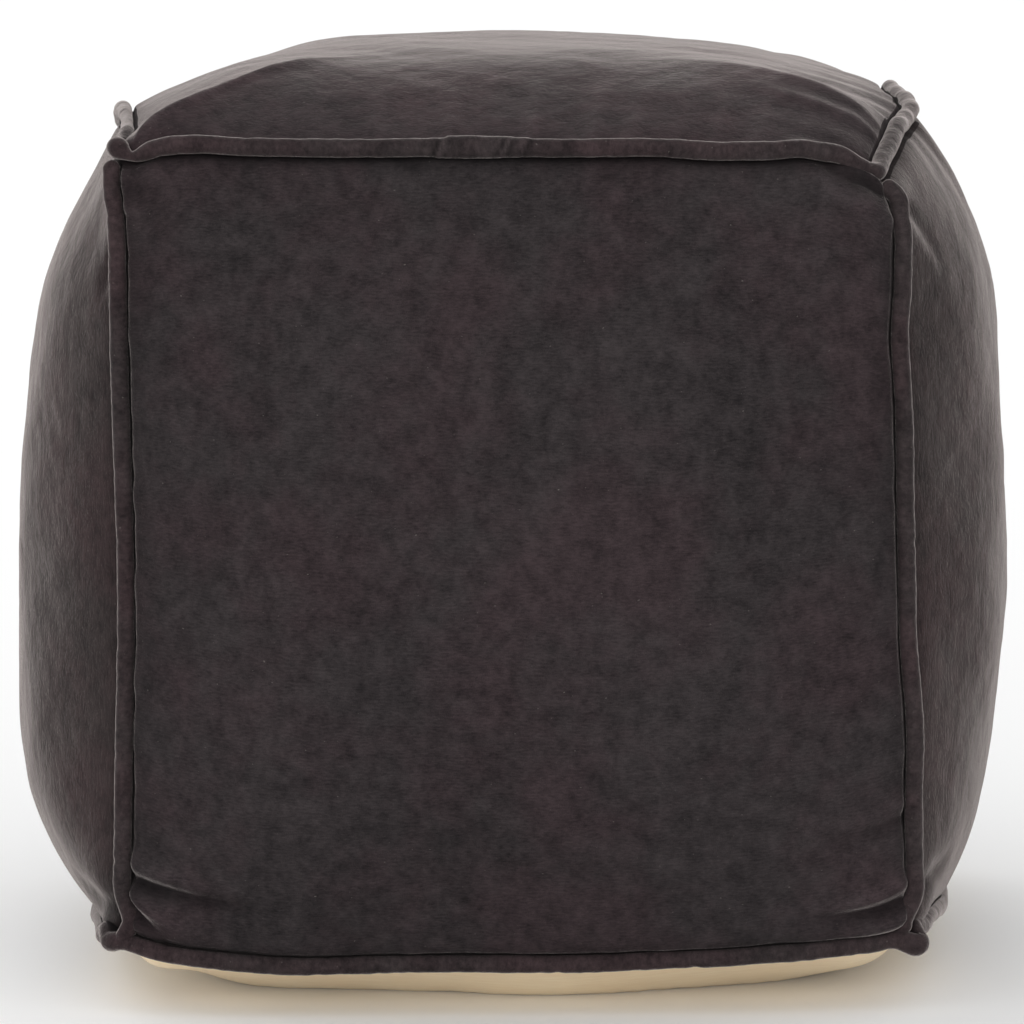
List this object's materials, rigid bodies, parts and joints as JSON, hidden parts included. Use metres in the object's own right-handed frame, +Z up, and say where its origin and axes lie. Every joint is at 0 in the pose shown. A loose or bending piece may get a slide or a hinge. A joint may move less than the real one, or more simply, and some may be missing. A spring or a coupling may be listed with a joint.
{
  "type": "cube pouf stool",
  "caption": "Stuffed cube pouf stool in dark velvet with swelling panels, piped seams and a natural canvas base.",
  "frame": {"origin": "middle of the box round the pouf, at the height of the surface it stands on", "axes": "+Z up; the front panel, with the lapped joint of the top piping, faces -Y; +X is to the right seen from the front"},
  "size_m": [0.4548, 0.4608, 0.419],
  "materials": {
    "velvet": "short cut pile velvet, charcoal, matt face with a light sheen at grazing angles",
    "piping": "the same velvet folded into a piping",
    "canvas": "natural plain-weave canvas"
  },
  "bodies": {
    "root": {"stuffed_body": "canvas", "top_panel": "velvet", "front_panel": "velvet", "back_panel": "velvet", "left_panel": "velvet", "right_panel": "velvet", "top_piping": "piping", "base_piping": "piping", "upright_piping_front_left": "piping", "upright_piping_front_right": "piping", "upright_piping_back_left": "piping", "upright_piping_back_right": "piping"}
  },
  "joints": []
}
